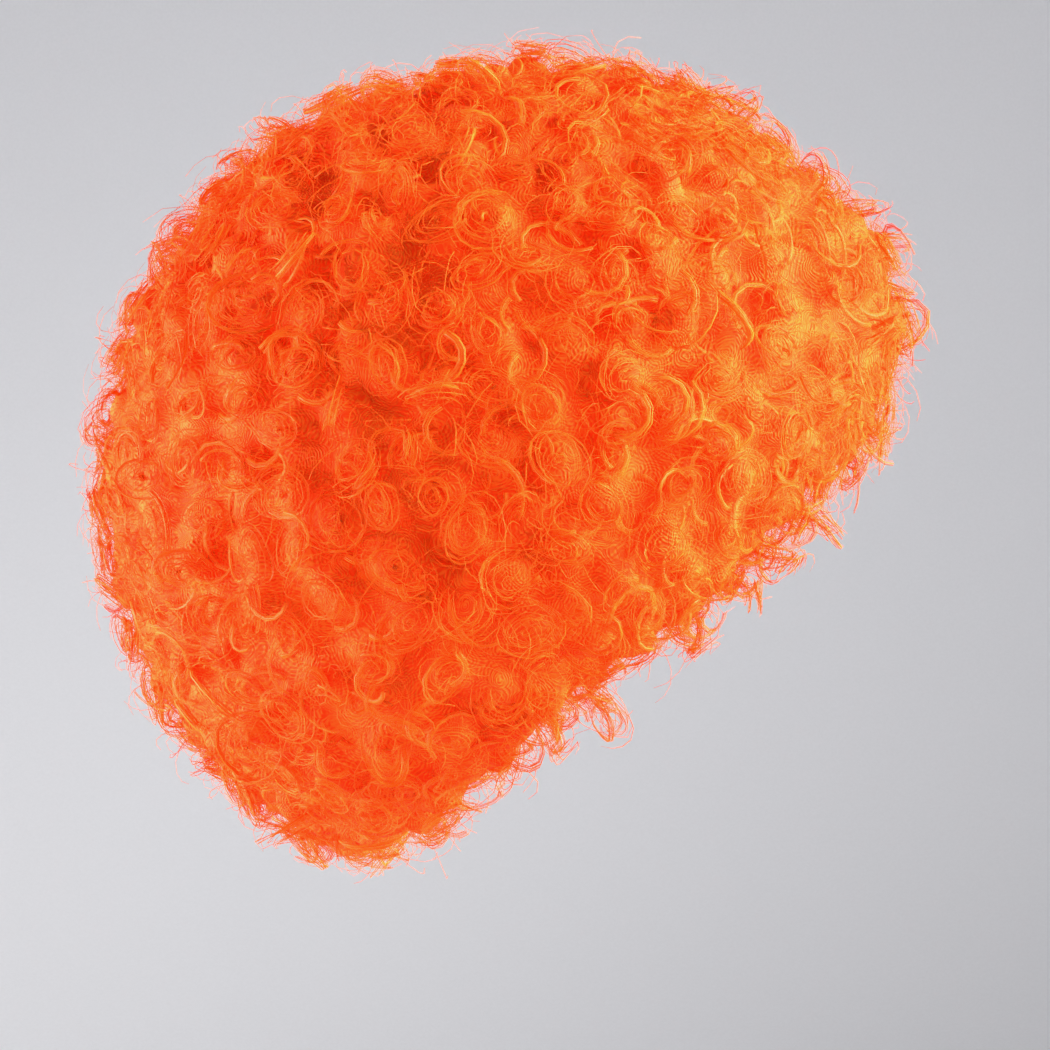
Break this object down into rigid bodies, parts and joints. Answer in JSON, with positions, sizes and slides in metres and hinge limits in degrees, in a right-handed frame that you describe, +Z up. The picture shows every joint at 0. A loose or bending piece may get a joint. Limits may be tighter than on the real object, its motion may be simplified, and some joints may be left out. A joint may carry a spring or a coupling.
{
  "type": "afro wig",
  "caption": "Large round afro wig: springy curled locks in sewn bands round a thin stretch cap that is open for the face and neck.",
  "frame": {"origin": "the inside of the cap's crown, where the top of the head bears", "axes": "+Z up; the face is towards -Y and the wearer's left towards +X"},
  "size_m": [0.2866, 0.2959, 0.2932],
  "materials": {
    "hair": "glossy synthetic fibre, bright orange",
    "cap": "matte stretch net, deep orange"
  },
  "bodies": {
    "root": {"wig_cap": "cap", "weft_crown": "hair", "weft_upper": "hair", "weft_middle": "hair", "weft_lower": "hair", "weft_edge": "hair"}
  },
  "joints": []
}
